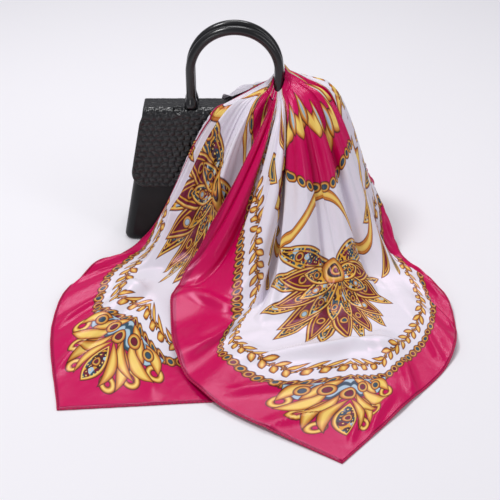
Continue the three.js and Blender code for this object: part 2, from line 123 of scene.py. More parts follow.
OUTER_FOLDS = table("thread width height start end", """
-13 6 6 30 300
-4 5 -7 24 230
5 7 10 20 270
13 6 -9 22 240
22 9 11 18 240
34 6 -5 34 210
43 8 7 30 240
53 5 -9 50 240
63 9 9 26 270
74 6 -7 60 230
84 8 7 30 210
96 7 -8 60 190
110 8 8 24 230
124 7 -9 60 210
138 9 10 24 240
154 8 -8 40 220
171 9 9 30 230
188 8 -7 40 210
204 9 10 30 240
220 8 -6 60 220
236 8 8 40 240
250 7 -6 40 200
263 7 6 40 220
-3 6 7 180 320
8 5 8 210 420
16 4 5 230 470
27 7 6 210 400
44 5 6 220 470
57 4 8 210 440
65 4 6 200 380
""")
LEFT_FOLDS = table("thread width height start end", """
-76 6 4 40 240
-70 5 -7 40 220
-63 7 10 26 250
-54 6 -8 30 220
-46 6 7 26 240
-37 5 -6 40 200
-71 4 9 190 330
-64 4 7 200 400
-56 4 9 190 430
-45 5 5 220 440
""")
# Sharper creases on the same threads, which the solids leave out
OUTER_CREASES = table("thread width height start end", """
-15.5 2.0 2.5 16 170
-12 1.8 -3.5 14 210
-8.5 1.8 3.5 14 180
-5 1.6 -4.5 14 230
-1.5 1.8 3.5 14 180
2.5 1.6 -4 14 200
7 2.2 3 14 250
12 1.4 -11 12 290
15 2.2 6 12 280
30.5 2.2 -5 30 260
35 2.6 3 14 250
51.5 2.2 -4 50 270
57 2.4 3 16 180
67 2.4 3 16 170
72.5 2.2 -3.5 16 200
78 2.6 3 16 190
84 2.4 -3 16 150
90 2.6 3 16 170
96 2.6 -4 16 200
102 2.8 3 16 190
109 2.6 -3 16 150
116 2.8 3.5 16 200
123 2.8 -4 16 210
131 3.0 3 16 200
139 2.8 -3 16 160
147 3.0 3.5 16 210
155 3.0 -4 16 220
163 3.0 3 16 170
172 3.2 -3 16 150
181 3.0 3.5 16 200
190 3.0 -4 16 210
199 3.2 3 16 170
208 3.0 -3 16 150
217 3.2 3.5 16 210
226 3.0 -4 16 200
236 3.2 3 16 170
246 3.0 -3 16 170
256 3.0 3 16 200
264 2.6 -2.5 16 150
""")
LEFT_CREASES = table("thread width height start end", """
-79 2.0 2.0 20 160
-75 1.8 -3 16 190
-71.5 1.8 2.5 16 150
-67.5 1.8 -4 16 240
-63.5 1.8 4 16 260
-59.5 1.8 -3.5 16 200
-55 1.8 2.5 16 160
-50.5 1.8 -5 16 260
-46 2.0 4 16 250
-41 1.8 -3 16 200
-37 1.8 2.5 16 180
-33 1.6 -2 16 150
""")
# Wrinkles across the threads: straight ridges and hollows between two places on the flat square
WRINKLES = table("x0 y0 x1 y1 width height", """
2 392 62 318 8 3.4
62 318 4 240 7 2.8
70 330 120 250 11 -3
12 168 66 128 8 2.6
0 96 48 64 7 2.2
24 14 84 40 6 1.8
56 2 128 30 7 2.4
150 0 186 58 8 2.6
226 2 262 62 8 2.4
300 0 332 74 9 3
366 8 402 84 9 3
430 0 452 70 9 2.6
58 214 222 52 10 4.2
76 246 262 78 12 -4
100 290 330 130 14 3
150 120 210 190 10 -2
900 842 846 796 7 2.4
898 760 836 716 8 3
900 672 846 640 8 2.8
846 700 700 846 11 4.6
822 676 668 812 11 -4
796 900 762 842 8 2.6
716 900 704 838 8 2.4
640 820 790 600 12 3
520 0 548 70 9 2.6
610 2 640 66 9 2.6
700 0 716 72 9 2.6
780 6 800 64 9 2.4
852 4 866 60 8 2.2
900 60 846 92 8 2.4
898 140 840 170 9 2.6
900 226 842 240 9 2.6
898 300 846 318 9 2.4
700 60 840 190 12 3.4
""")
# The left hem of the front fall, round the neck, where the left fall goes under it
COVER = table("reach bearing", """
15 -18
80 -27
119 -31
140 -38
193 -38
252 -32
334 -21
389 -12
""")


def ease(low, high, at):
    t = np.clip((at - low) / (high - low), 0, 1)
    return t * t * (3 - 2 * t)


def read(rows, key, column, at):
    """A column at a key between its rows, smoothly, with a sharp turn where a row is a corner."""
    keys, values = rows[key], rows[column]
    last = len(keys) - 2
    corner = rows.get("corner", np.zeros(len(keys))) > 0
    step = np.diff(values) / np.diff(keys)
    wide = (values[2:] - values[:-2]) / (keys[2:] - keys[:-2])
    at = np.asarray(at, float)
    i = np.clip(np.searchsorted(keys, at, side="right") - 1, 0, last)
    before = np.where((i > 0) & ~corner[i], wide[np.clip(i - 1, 0, last - 1)], step[i])
    after = np.where((i < last) & ~corner[i + 1], wide[np.clip(i, 0, last - 1)], step[i])
    span = keys[i + 1] - keys[i]
    t = np.clip((at - keys[i]) / span, 0, 1)
    ends = values[i] * (1 + 2 * t) * (1 - t) ** 2 + values[i + 1] * t**2 * (3 - 2 * t)
    return ends + span * (before * t * (1 - t) ** 2 - after * t**2 * (1 - t))


def fall_height(bearing, reach):
    names = ("crest", "slope", "shoulder", "foot")
    crest, slope, shoulder, foot = (read(FALLS, "bearing", name, bearing) for name in names)
    down = np.clip((reach - shoulder) / (foot - shoulder), 0, 1)
    return WALL + (crest - slope * np.minimum(reach, foot) - WALL) * 0.5 * (1 + np.cos(np.pi * down))


def fold_height(folds, thread, reach):
    height = np.zeros(np.broadcast(thread, reach).shape)
    for t, w, h, start, end in zip(*folds.values()):
        off = np.clip(np.abs(thread - t) / w, 0, 1)
        length = end - start
        run = ease(start, start + FOLD_ENDS[0] * length, reach)
        run *= 1 - ease(end - FOLD_ENDS[1] * length, end, reach)
        height += h * np.cos(np.pi / 2 * off) ** 2 * run
    return height


def ring_at(bearing, radius):
    """The distance from the neck's centre to a ring round both legs of the handles."""
    across, along = np.abs(np.sin(np.radians(bearing))), np.abs(np.cos(np.radians(bearing)))
    half = HANDLE["apart"] / 2
    round_end = half * along + np.sqrt(np.maximum(radius**2 - (half * across) ** 2, 0))
    return np.where(radius * along <= half * across, radius / np.maximum(across, 1e-6), round_end)


LEAN = math.atan2((BAG["base_depth"] - BAG["top_depth"]) / 2, BAG["height"])
CLEAR = {"gap": FLAP["thickness"] + SEAM + WALL + 5, "round": 8}


def bag_width(z):
    return BAG["base_width"] + (BAG["top_width"] - BAG["base_width"]) * np.clip(z / BAG["height"], 0, 1)


def clear_of_bag(point, side):
    """Moves points of the cloth's outer face clear of the bag and its flap, as if these had round edges."""
    x, y, z = point
    off_face = (side * y - BAG["top_depth"] / 2) * math.cos(LEAN) + (z - BAG["height"]) * math.sin(LEAN)
    off_top = z - BAG["height"]
    face, top = np.maximum(off_face + CLEAR["round"], 0), np.maximum(off_top + CLEAR["round"], 0)
    off = np.hypot(face, top)
    depth = np.where(off > 0, off - CLEAR["round"], np.maximum(off_face, off_top))
    short = np.maximum(CLEAR["gap"] - depth, 0) * (np.abs(x) <= bag_width(z) / 2 + CLEAR["gap"])
    safe = np.maximum(off, 1e-9)
    across = np.where(off > 0, face * math.cos(LEAN) / safe, math.cos(LEAN))
    up = np.where(off > 0, (face * math.sin(LEAN) + top) / safe, math.sin(LEAN))
    return np.array([x, y + side * across * short, z + up * short])


def normals(point):
    """The unit normals, out and up, of a grid of points, rows down the cloth and columns round it."""
    down, across = (np.gradient(point, axis=axis) for axis in (1, 2))
    n = np.cross(down, across, axis=0)
    return n / np.maximum(np.linalg.norm(n, axis=0), 1e-9)


def under(bearing, reach):
    """How far the left fall is under the front one there, from 0 to 1."""
    hem = read(COVER, "reach", "bearing", reach)
    return ease(hem - TUCK_BEARINGS[0], hem - TUCK_BEARINGS[1], bearing)


def run_length(line):
    """The distance along a line of points, shape (3, n), from its first."""
    return np.concatenate([[0.0], np.cumsum(np.linalg.norm(np.diff(line, axis=1), axis=0))])


# Where on the flat square, in millimetres, the threads of each sheet run to at the neck
AIMS = table("thread x y", """
-82 640 560
-50 600 600
-36 540 570
-22 450 500
-18 0 1300
-12 40 900
-8 70 720
-3 110 640
4 150 590
10 190 550
13 420 460
16 450 450
272 450 450
""")
SIDE = 900


def flat_places(name, point, thread, corners):
    """The place of each point on the flat square, measured from the hem up its thread at the cloth's scale."""
    run = run_length(point[:, -1])
    at = [run[np.argmin(np.abs(thread - corner))] for corner in corners]
    end = np.zeros((2, len(thread)))
    if name == "outer":
        first, second = at
        end[1] = np.where(thread <= corners[0], first - run, 0)
        end[0] = np.clip((run - first) / (second - first), 0, 1) * SIDE
        end[1] += np.maximum(run - second, 0)
    else:
        end[0] = SIDE - np.maximum(run - at[0], 0)
        end[1] = SIDE - np.maximum(at[0] - run, 0)
    aim = np.array([np.interp(thread, AIMS["thread"], AIMS[c]) for c in "xy"])
    way = aim - end
    full = np.linalg.norm(way, axis=0)
    steps = np.linalg.norm(np.diff(point, axis=1), axis=0)
    up = np.concatenate([np.cumsum(steps[::-1], axis=0)[::-1], np.zeros((1, len(thread)))])
    return end[:, None] + way[:, None] * up * np.minimum(1 / full, 1 / up[0])


WRINKLE = {"rise": 2.5, "sway": 3, "pace": 17}  # they sway from side to side along their length


def wrinkle_height(x, y):
    """How far the wrinkles push the cloth out at places on the flat square, in millimetres."""
    height = np.zeros(x.shape)
    for x0, y0, x1, y1, width, rise in zip(*WRINKLES.values()):
        length = math.hypot(x1 - x0, y1 - y0)
        along = ((x - x0) * (x1 - x0) + (y - y0) * (y1 - y0)) / length
        off = ((x - x0) * (y1 - y0) - (y - y0) * (x1 - x0)) / length
        off += WRINKLE["sway"] * np.sin(along / WRINKLE["pace"])
        ends = ease(-0.1 * length, 0.3 * length, along) * (1 - ease(0.6 * length, 1.1 * length, along))
        height += WRINKLE["rise"] * rise * np.exp(-((off / width) ** 2)) * ends
    return height


SHEETS = {
    "outer": {"hem": OUTER_HEM, "folds": OUTER_FOLDS, "creases": OUTER_CREASES,
              "threads": np.concatenate([np.arange(-18, 85, 0.46), np.linspace(85, 272, 130)]), "steps": 132},
    "left": {"hem": LEFT_HEM, "folds": LEFT_FOLDS, "creases": LEFT_CREASES,
             "threads": np.linspace(-82, -22, 150), "steps": 150},
}


def cloth(name):
    """One sheet: the grid of points of its outer face, in millimetres, the thread that each column is on, and
    each point's place on the flat square."""
    sheet = SHEETS[name]
    hem = sheet["hem"]
    thread = sheet["threads"].copy()
    corners = hem["neck"][hem["corner"] > 0]
    for corner in corners:
        thread[np.argmin(np.abs(thread - corner))] = corner
    along = np.linspace(0, 1, sheet["steps"])[:, None]
    end = np.array([read(hem, "neck", c, thread) for c in "xy"])
    turn = np.radians(thread)
    out = np.array([np.sin(turn), -np.cos(turn)])
    centre = np.array([NECK["x"], NECK["y"]])[:, None]
    ring = ring_at(thread, NECK["outer"])
    start = centre + ring * out
    bend = centre + (ring + BEND * np.linalg.norm(end - start, axis=0)) * out
    plan = start[:, None] * (1 - along) ** 2 + bend[:, None] * 2 * along * (1 - along)
    plan = plan + end[:, None] * along**2
    bearing = np.degrees(np.arctan2(plan[0] - NECK["x"], NECK["y"] - plan[1]))
    bearing = np.where(bearing < thread - 180, bearing + 360, bearing)
    reach = np.hypot(plan[0] - NECK["x"], plan[1] - NECK["y"])
    height = fall_height(bearing, reach)
    lift = LIFT * (1 - ease(*LIFT_BEARINGS, bearing)) if name == "outer" else 0 * bearing
    point = np.array([plan[0], plan[1], height + lift * (1 - ease(WALL, LIFT_ENDS, height))])
    normal = normals(point)
    on_slope = ease(WALL, SETTLES, point[2])
    tucked = under(bearing, reach) if name == "left" else 0 * bearing
    sink = TUCK * tucked * on_slope * ease(NECK["outer"], 3 * NECK["outer"], reach)
    point = point + normal * (fold_height(sheet["folds"], thread, reach) * (1 - tucked) - sink)
    flat = flat_places(name, point, thread, corners)
    opened = CREASE_RISE[name]
    if name == "left":
        away = ease(LEFT_CREASES_OPEN["from"], LEFT_CREASES_OPEN["to"], reach)
        opened = LEFT_CREASES_OPEN["neck"] + (opened - LEFT_CREASES_OPEN["neck"]) * away
    fine = opened * fold_height(sheet["creases"], thread, reach) + wrinkle_height(*flat)
    ripple = np.sin(np.radians(thread * RIPPLE["per_degree"])) * np.exp(-reach / RIPPLE["fades"])
    fine += RIPPLE["height"] * ripple * ease(NECK["outer"] - 1, 2 * NECK["outer"], reach)
    point = point + normals(point) * fine * (1 - tucked)
    point[2] = np.maximum(point[2], WALL + lift * (1 - on_slope))
    side = -1 if name == "left" else np.sign(point[1])
    return clear_of_bag(point, side), thread, flat


def mesh_object(name, points, faces, flat=None):
    """A piece from points in millimetres and its faces, smooth but for faces of more than four points. flat is
    the place of each point on the flat square."""
    mesh = bpy.data.meshes.new(name)
    mesh.from_pydata((points * MM).tolist(), [], faces)
    mesh.polygons.foreach_set("use_smooth", [len(face) <= 4 for face in faces])
    if flat is not None:
        corners = np.zeros(len(mesh.loops), int)
        mesh.loops.foreach_get("vertex_index", corners)
        mesh.uv_layers.new(name="flat").data.foreach_set("uv", flat[corners].astype(np.float32).ravel())
    piece = bpy.data.objects.new(name, mesh)
    bpy.context.scene.collection.objects.link(piece)
    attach(piece, "root")
    return piece


def grid_faces(rows, columns, closed=False):
    """Quads of a grid of points that face out where rows run down and columns run anticlockwise round."""
    i, j = np.meshgrid(np.arange(rows - 1), np.arange(columns if closed else columns - 1), indexing="ij")
    k = (j + 1) % columns
    above, below = i * columns, (i + 1) * columns
    return np.stack([above + j, below + j, below + k, above + k], -1).reshape(-1, 4)


def tube(name, path, radius, sides=10, flat=None, first=None):
    """A closed round bar along a path, with a radius for each point of it. first is a side that it keeps."""
    tangent = np.gradient(path, axis=0)
    tangent /= np.linalg.norm(tangent, axis=1)[:, None]
    side = np.cross(tangent, [0, 0, 1]) if first is None else np.broadcast_to(first, path.shape)
    side = side / np.linalg.norm(side, axis=1)[:, None]
    up = np.cross(side, tangent)
    turn = 2 * np.pi * np.arange(sides) / sides
    ring = side[:, None] * np.cos(turn)[:, None] + up[:, None] * np.sin(turn)[:, None]
    ring = path[:, None] + radius[:, None, None] * ring
    points = np.concatenate([ring.reshape(-1, 3), path[:1], path[-1:]])
    quads = grid_faces(len(path), sides, True).tolist()
    last = (len(path) - 1) * sides
    caps = [[len(points) - 2, k, (k + 1) % sides] for k in range(sides)]
    caps += [[len(points) - 1, last + (k + 1) % sides, last + k] for k in range(sides)]
    if flat is not None:
        flat = np.concatenate([np.repeat(flat, sides, axis=0), flat[:1], flat[-1:]])
    return mesh_object(name, points, quads + caps, flat)


class Value:
    """A number that a material's nodes work out at each point of the surface."""

    tree = None

    def __init__(self, socket):
        self.socket = socket

    def __add__(self, other):
        return calc("ADD", self, other)

    def __radd__(self, other):
        return calc("ADD", other, self)

    def __sub__(self, other):
        return calc("SUBTRACT", self, other)

    def __rsub__(self, other):
        return calc("SUBTRACT", other, self)

    def __mul__(self, other):
        return calc("MULTIPLY", self, other)

    def __rmul__(self, other):
        return calc("MULTIPLY", other, self)

    def __truediv__(self, other):
        return calc("DIVIDE", self, other)

    def __rtruediv__(self, other):
        return calc("DIVIDE", other, self)


def plug(sockets, values):
    for socket, value in zip(sockets, values):
        if isinstance(value, Value):
            Value.tree.links.new(value.socket, socket)
        else:
            socket.default_value = value


def calc(operation, *values):
    node = Value.tree.nodes.new("ShaderNodeMath")
    node.operation = operation
    plug(node.inputs, values)
    return Value(node.outputs[0])


def ramp(value, low, high):
    """0 below low and 1 above high, or the other way round where low is the higher."""
    node = Value.tree.nodes.new("ShaderNodeMapRange")
    plug(node.inputs, (value, low, high, 0.0, 1.0))
    return Value(node.outputs[0])


def hypot(x, y):
    return calc("SQRT", x * x + y * y)


def absolute(x):
    return calc("ABSOLUTE", x)


def least(x, y):
    return calc("MINIMUM", x, y)


def most(x, y):
    return calc("MAXIMUM", x, y)


def sine(x):
    return calc("SINE", x)


def repeat(x, pitch):
    """The offset from the middle of the cell that x is in, and the cell's whole number."""
    cell = calc("FLOOR", x / pitch)
    return x - (cell + 0.5) * pitch, cell


def colour(rgb):
    """A screen colour, 0 to 255, as the light that a material gives back."""
    return (*(c / 255 / 12.92 if c <= 10 else ((c / 255 + 0.055) / 1.055) ** 2.4 for c in rgb), 1.0)


def mix(under, over, share):
    node = Value.tree.nodes.new("ShaderNodeMix")
    node.data_type = "RGBA"
    plug((node.inputs[0], node.inputs[6], node.inputs[7]), (share, under, over))
    return Value(node.outputs[2])


SOFT = 0.0005  # half the width over which one printed colour turns into the next


def inside(distance):
    """1 where a distance inward from an outline, in metres, is positive."""
    return ramp(distance, -SOFT, SOFT)


GOLD, HONEY, AMBER = colour((250, 214, 110)), colour((228, 168, 52)), colour((196, 104, 24))
INK, WINE, TEAL = colour((58, 34, 26)), colour((112, 26, 46)), colour((44, 80, 96))
SKY, WHITE, PINK = colour((176, 204, 220)), colour((238, 233, 243)), colour((206, 2, 88))


def gilded(under, depth, width):
    """Gold leaf with a dark outline over a colour. depth is the distance inward from its outline."""
    gold = mix(AMBER, GOLD, ramp(depth, 0.0004, width))
    return mix(mix(under, INK, inside(depth + 0.0011)), gold, inside(depth))


def jewel(under, distance, radius, stone):
    """A round stone in a gold setting."""
    set_in = gilded(under, radius - distance, radius * 0.45)
    return mix(mix(set_in, INK, inside(radius * 0.62 - distance)), stone, inside(radius * 0.5 - distance))


def leaf(x, y, length, width):
    """How far inside a pointed leaf a place is. The leaf runs from the origin along x."""
    t = x / length
    return width * 4 * t * (1 - t) - absolute(y)


def turned(x, y, angle):
    c, s = math.cos(angle), math.sin(angle)
    return x * c + y * s, y * c - x * s


INNER = {"side": 0.403, "corner": 0.505}  # how far the white field reaches towards a side and a corner
FIELD_EDGE = 0.046  # plain white here, so that the two materials of the print meet unseen


def folded(u, v):
    """A place seen from the middle, with the eight alike wedges of the design folded onto one: how far towards
    the side and off its middle, and how far towards the corner and off the diagonal."""
    middle = SIDE * MM / 2
    x, y = absolute(u - middle), absolute(v - middle)
    p, q = most(x, y), least(x, y)
    return p, q, (p + q) * math.sqrt(0.5), (p - q) * math.sqrt(0.5)


def stones(place):
    """Small stones and gold dots on a dark ground, for the inside of the large leaves."""
    node = Value.tree.nodes.new("ShaderNodeTexVoronoi")
    node.voronoi_dimensions = "2D"
    node.inputs["Scale"].default_value = 150
    Value.tree.links.new(place, node.inputs["Vector"])
    tint = Value.tree.nodes.new("ShaderNodeSeparateColor")
    Value.tree.links.new(node.outputs["Color"], tint.inputs[0])
    near, pick = Value(node.outputs["Distance"]), Value(tint.outputs[0])
    ground = mix(INK, TEAL, ramp(pick, 0.25, 0.3))
    ground = mix(ground, WINE, ramp(pick, 0.62, 0.66))
    ground = mix(ground, SKY, ramp(pick, 0.88, 0.92))
    ground = mix(ground, HONEY, ramp(near, 0.62, 0.70))
    return mix(ground, GOLD, ramp(near, 0.17, 0.10))


def field_print(place, u, v):
    """The white field with its sprays, flowers and swags, and the pink middle."""
    p, q, a, b = folded(u, v)
    gems = stones(place)
    printed = WHITE

    # A large spray of leaves towards each corner: where each fan starts, the angle of its first leaf and
    # between leaves, how many there are, their length and width, and what fills them
    for root, first, pitch, count, long, wide, fill in (
        (0.315, 0.24, 0.48, 5, 0.125, 0.0145, gems),
        (0.330, 0.0, 0.48, 5, 0.105, 0.0150, WINE),
        (0.330, 0.24, 0.60, 4, 0.062, 0.0110, gems),
    ):
        for k in range(count):
            size = long * (1 - 0.05 * k)
            lx, ly = turned(a - root, b, first + pitch * k)
            depth = leaf(lx, ly, size, wide)
            printed = mix(gilded(printed, depth, 0.002), fill, inside(depth - 0.0026))
            printed = mix(printed, HONEY, inside(0.0007 - absolute(depth - 0.0065)))
            printed = jewel(printed, hypot(lx - size * 0.62, ly), wide * 0.4, (TEAL, WINE, SKY)[k % 3])
    bud = hypot(a - 0.32, b)
    printed = jewel(jewel(printed, bud, 0.017, TEAL), bud, 0.007, WINE)

    # A flower in the middle of each side, with curls: their roots, angles, lengths, widths and fillings
    fx = p - 0.300
    flower_r, flower_turn = hypot(fx, q), calc("ARCTAN2", q, fx)
    printed = gilded(printed, 0.042 - 0.009 * absolute(sine(flower_turn * 4)) - flower_r, 0.004)
    petals = 0.031 - 0.007 * absolute(calc("COSINE", flower_turn * 4)) - flower_r
    printed = mix(mix(printed, INK, inside(petals + 0.001)), WINE, inside(petals))
    printed = jewel(mix(printed, gems, inside(0.019 - flower_r)), flower_r, 0.009, SKY)
    for cx, cy, angle, size, wide, fill in (
        (0.334, 0.030, 1.40, 0.066, 0.0105, TEAL),
        (0.258, 0.036, 1.95, 0.062, 0.0100, gems),
        (0.300, 0.046, 1.62, 0.086, 0.0105, WINE),
    ):
        lx, ly = turned(p - cx, q - cy, angle)
        depth = leaf(lx, ly + 6.0 * lx * (size - lx), size, wide)
        printed = mix(gilded(printed, depth, 0.0022), fill, inside(depth - 0.0030))
        printed = mix(printed, HONEY, inside(0.0007 - absolute(depth - 0.0058)))

    # A ribbon in swags round the middle
    r, turn = hypot(p, q), calc("ARCTAN2", b, a)
    scallop = calc("COSINE", turn * 8)
    off = absolute(r - (0.247 - 0.030 * scallop))
    printed = gilded(printed, 0.0075 - off, 0.006)
    printed = mix(printed, AMBER, inside(0.0006 - absolute(off - 0.0046)))

    # The pink middle with a wreath on it and an edge of stones
    rim = 0.188 + 0.022 * scallop - r
    wreath, _ = repeat(turn + math.pi / 32, math.pi / 16)
    middle = PINK
    for way in (1, -1):
        lx, ly = turned(r - 0.098, way * wreath * 0.12, 0.30)
        middle = gilded(middle, leaf(lx, ly, 0.052, 0.0068), 0.004)
    lx, ly = r - 0.085, wreath * 0.11
    middle = gilded(middle, leaf(lx, ly, 0.046, 0.0048), 0.004)
    middle = mix(middle, SKY, inside(leaf(lx - 0.008, ly, 0.03, 0.0022)))
    printed = mix(printed, middle, inside(rim))
    bead, _ = repeat(turn, math.pi / 44)
    return jewel(printed, hypot(bead * 0.19, rim), 0.0062, TEAL)


HEM_SHADE_BAND, HEM_SHADE_PINK = 0.4475, colour((172, 3, 74))  # painted shade: a darker pink band along the edge of the cloth beside the rolled hem


def border_print(place, u, v):
    """The garland, the pink border with its edge of stones, the corner ornaments and a painted shade beside
    the hem.
    """
    p, q, a, b = folded(u, v)
    gems = stones(place)
    edge = least(INNER["side"] - p, INNER["corner"] - a)
    along = q + 0.41 * most(q - 0.311, 0.0)

    # A garland of leaves inside the border
    line = 0.026 - edge
    step, _ = repeat(along, 0.017)
    stem = 0.0012 - absolute(line + 0.0025 * sine(along * (2 * math.pi / 0.034)))
    printed = gilded(WHITE, stem, 0.001)
    for way in (1, -1):
        lx, ly = turned(step + 0.007, way * line, math.radians(38))
        printed = gilded(printed, leaf(lx, ly, 0.016, 0.0034), 0.003)
    printed = jewel(printed, hypot(step - 0.0085, line), 0.0028, WINE)

    # The pink border and its edge of stones
    printed = mix(printed, PINK, inside(-1.0 * edge))
    printed = gilded(printed, 0.0032 - absolute(edge - 0.002), 0.002)
    bead, cell = repeat(along, 0.0125)
    stone = mix(TEAL, WINE, ramp(calc("MODULO", absolute(cell), 2.0), 0.4, 0.6))
    printed = jewel(printed, hypot(bead, edge - 0.002), 0.0053, stone)

    # The corner ornament: a blue crown, gold rings (place and radius), curling leaves (root, angle, length,
    # width and bend), a drop and jewels (place, size and stone)
    ca = a - INNER["corner"]
    crown = least(least(0.033 - ca - 0.22 * b, 0.060 - b), ca)
    ground = mix(TEAL, SKY, ramp(sine(ca * 460.0 + sine(b * 260.0) * 2.0), -0.5, 0.3))
    printed = mix(mix(printed, INK, inside(crown + 0.001)), ground, inside(crown))
    for rx, ry, radius in ((0.024, 0.060, 0.0075), (0.050, 0.042, 0.0080), (0.074, 0.026, 0.0065)):
        ring = 0.0028 - absolute(hypot(ca - rx, b - ry) - radius)
        printed = gilded(printed, ring, 0.0022)
    for lx0, ly0, angle, size, wide, curl in (
        (0.002, 0.034, 0.98, 0.036, 0.0070, -16.0),
        (0.016, 0.020, 1.15, 0.048, 0.0085, 13.0),
        (0.028, 0.004, 0.62, 0.056, 0.0075, -13.0),
        (0.024, 0.010, 0.95, 0.044, 0.0065, 16.0),
        (0.034, 0.001, 0.36, 0.052, 0.0060, -14.0),
        (0.000, 0.006, 0.95, 0.030, 0.0055, -14.0),
        (0.002, 0.026, 0.70, 0.028, 0.0055, 14.0),
    ):
        lx, ly = turned(ca - lx0, b - ly0, angle)
        printed = gilded(printed, leaf(lx, ly + curl * lx * (size - lx), size, wide), 0.0045)
    drop = leaf(ca - 0.040, b, 0.052, 0.0135)
    printed = mix(gilded(printed, drop, 0.002), gems, inside(drop - 0.003))
    for jx, jy, size, stone in (
        (0.064, 0.0, 0.0055, WINE),
        (0.024, 0.0, 0.0095, WINE),
        (0.013, 0.021, 0.0085, WINE),
        (0.010, 0.043, 0.0070, TEAL),
    ):
        printed = jewel(printed, hypot(ca - jx, b - jy), size, stone)
    # Painted shade: the edge beside the rolled hem is darkened to a deeper pink
    return mix(printed, HEM_SHADE_PINK, inside(p - HEM_SHADE_BAND))


def new_material(name, roughness, **sockets):
    mat = bpy.data.materials.new(name)
    mat.use_nodes = True
    Value.tree = mat.node_tree
    shader = mat.node_tree.nodes["Principled BSDF"]
    shader.inputs["Roughness"].default_value = roughness
    for socket, value in sockets.items():
        shader.inputs[socket.replace("_", " ")].default_value = value
    return mat, shader


def bump(shader, height, distance, strength):
    node = Value.tree.nodes.new("ShaderNodeBump")
    node.inputs["Strength"].default_value = strength
    node.inputs["Distance"].default_value = distance
    Value.tree.links.new(height.socket, node.inputs["Height"])
    Value.tree.links.new(node.outputs["Normal"], shader.inputs["Normal"])


def noise(scale, detail, stretch=(1, 1, 1)):
    """Noise of the place in space, in metres, about 0 to 1."""
    place = Value.tree.nodes.new("ShaderNodeTexCoord")
    mapping = Value.tree.nodes.new("ShaderNodeMapping")
    mapping.inputs["Scale"].default_value = stretch
    Value.tree.links.new(place.outputs["Object"], mapping.inputs["Vector"])
    node = Value.tree.nodes.new("ShaderNodeTexNoise")
    node.inputs["Scale"].default_value = scale
    node.inputs["Detail"].default_value = detail
    Value.tree.links.new(mapping.outputs["Vector"], node.inputs["Vector"])
    return Value(node.outputs[0])


def flat_place():
    """The place on the flat square, in metres, as a vector and as its two numbers."""
    node = Value.tree.nodes.new("ShaderNodeUVMap")
    node.uv_map = "flat"
    split = Value.tree.nodes.new("ShaderNodeSeparateXYZ")
    Value.tree.links.new(node.outputs["UV"], split.inputs[0])
    return node.outputs["UV"], Value(split.outputs[0]), Value(split.outputs[1])


def silk_material(name, draw):
    mat, shader = new_material(name, 0.23, Sheen_Weight=0.02, Sheen_Roughness=0.3, Specular_IOR_Level=0.5,
                               Anisotropic=0.4)
    shader.inputs["Sheen Tint"].default_value = (1.0, 0.6, 0.85, 1)
    shader.inputs["Specular Tint"].default_value = (1.0, 0.56, 0.8, 1)
    place, u, v = flat_place()
    Value.tree.links.new(draw(place, u, v).socket, shader.inputs["Base Color"])
    weave = sine((u + v) * 5200.0) * sine((u - v) * 1700.0) * 0.04
    bump(shader, weave + noise(60, 2.0) + noise(260, 2.0) * 0.12, 0.0012, 0.5)
    return mat


def hem_material():
    mat, shader = new_material("rolled_hem", 0.4, Sheen_Weight=0.05, Specular_IOR_Level=0.3)
    place, u, v = flat_place()
    stitch = sine((u + v) * 1400.0)
    tone = mix(colour((188, 3, 78)), colour((150, 3, 64)), ramp(stitch, 0.3, 0.95))
    Value.tree.links.new(tone.socket, shader.inputs["Base Color"])
    bump(shader, stitch, 0.0002, 0.5)
    return mat


def leather_material(name, roughness, grain, depth, gloss, stretch=(1, 1, 1)):
    mat, shader = new_material(name, roughness, Specular_IOR_Level=gloss, Coat_Weight=gloss,
                               Coat_Roughness=0.18)
    wear = noise(18, 4.0)
    tone = mix(colour((9, 9, 11)), colour((26, 26, 29)), ramp(wear, 0.35, 0.8))
    Value.tree.links.new(tone.socket, shader.inputs["Base Color"])
    bump(shader, noise(grain, 3.0, stretch), depth, 0.5)
    return mat


silk = [silk_material("satin_field", field_print), silk_material("satin_border", border_print)]
hem_cloth = hem_material()
body_leather = leather_material("smooth_leather", 0.45, 700, 0.0003, 0.2)
croc_leather = leather_material("embossed_leather", 0.3, 300, 0.0001, 0.4)
handle_leather = leather_material("handle_leather", 0.28, 300, 0.0002, 0.4, (1, 1, 0.3))


def dress(piece, flat):
    """Gives a sheet both materials of the print: the border's where faces are near the edge of the square."""
    for mat in silk:
        piece.data.materials.append(mat)
    off = np.abs(flat.reshape(2, -1) - SIDE / 2) * MM
    p, a = off.max(axis=0), off.sum(axis=0) * math.sqrt(0.5)
    near = np.minimum(INNER["side"] - p, INNER["corner"] - a) < FIELD_EDGE
    first = np.array([polygon.vertices[0] for polygon in piece.data.polygons])
    piece.data.polygons.foreach_set("material_index", near[first].astype(np.int32))


HEM_RADIUS = 1.1
PUCKER = {"depth": 0.1, "pitch": 4.5}


def hem_tube(name, point, flat):
    """The rolled hem along the last row and up the first column of a sheet, with small puckers."""
    line = np.concatenate([point[:, 4:-1, 0].T, point[:, -1].T])
    places = np.concatenate([flat[:, 4:-1, 0].T, flat[:, -1].T])
    outward = np.concatenate([(point[:, 4:-1, 0] - point[:, 4:-1, 2]).T, (point[:, -1] - point[:, -3]).T])
    outward = outward / np.linalg.norm(outward, axis=1)[:, None]
    path = line + outward * 0.9
    path[:, 2] = np.maximum(path[:, 2] - 0.3, HEM_RADIUS)
    pucker = np.sin(run_length(path.T) * (2 * np.pi / PUCKER["pitch"]))
    return tube(name, path, HEM_RADIUS * (1 + PUCKER["depth"] * pucker), flat=places * MM)


def thicken(piece, thickness):
    shell = piece.modifiers.new("thickness", "SOLIDIFY")
    shell.thickness = thickness
    shell.offset = -1


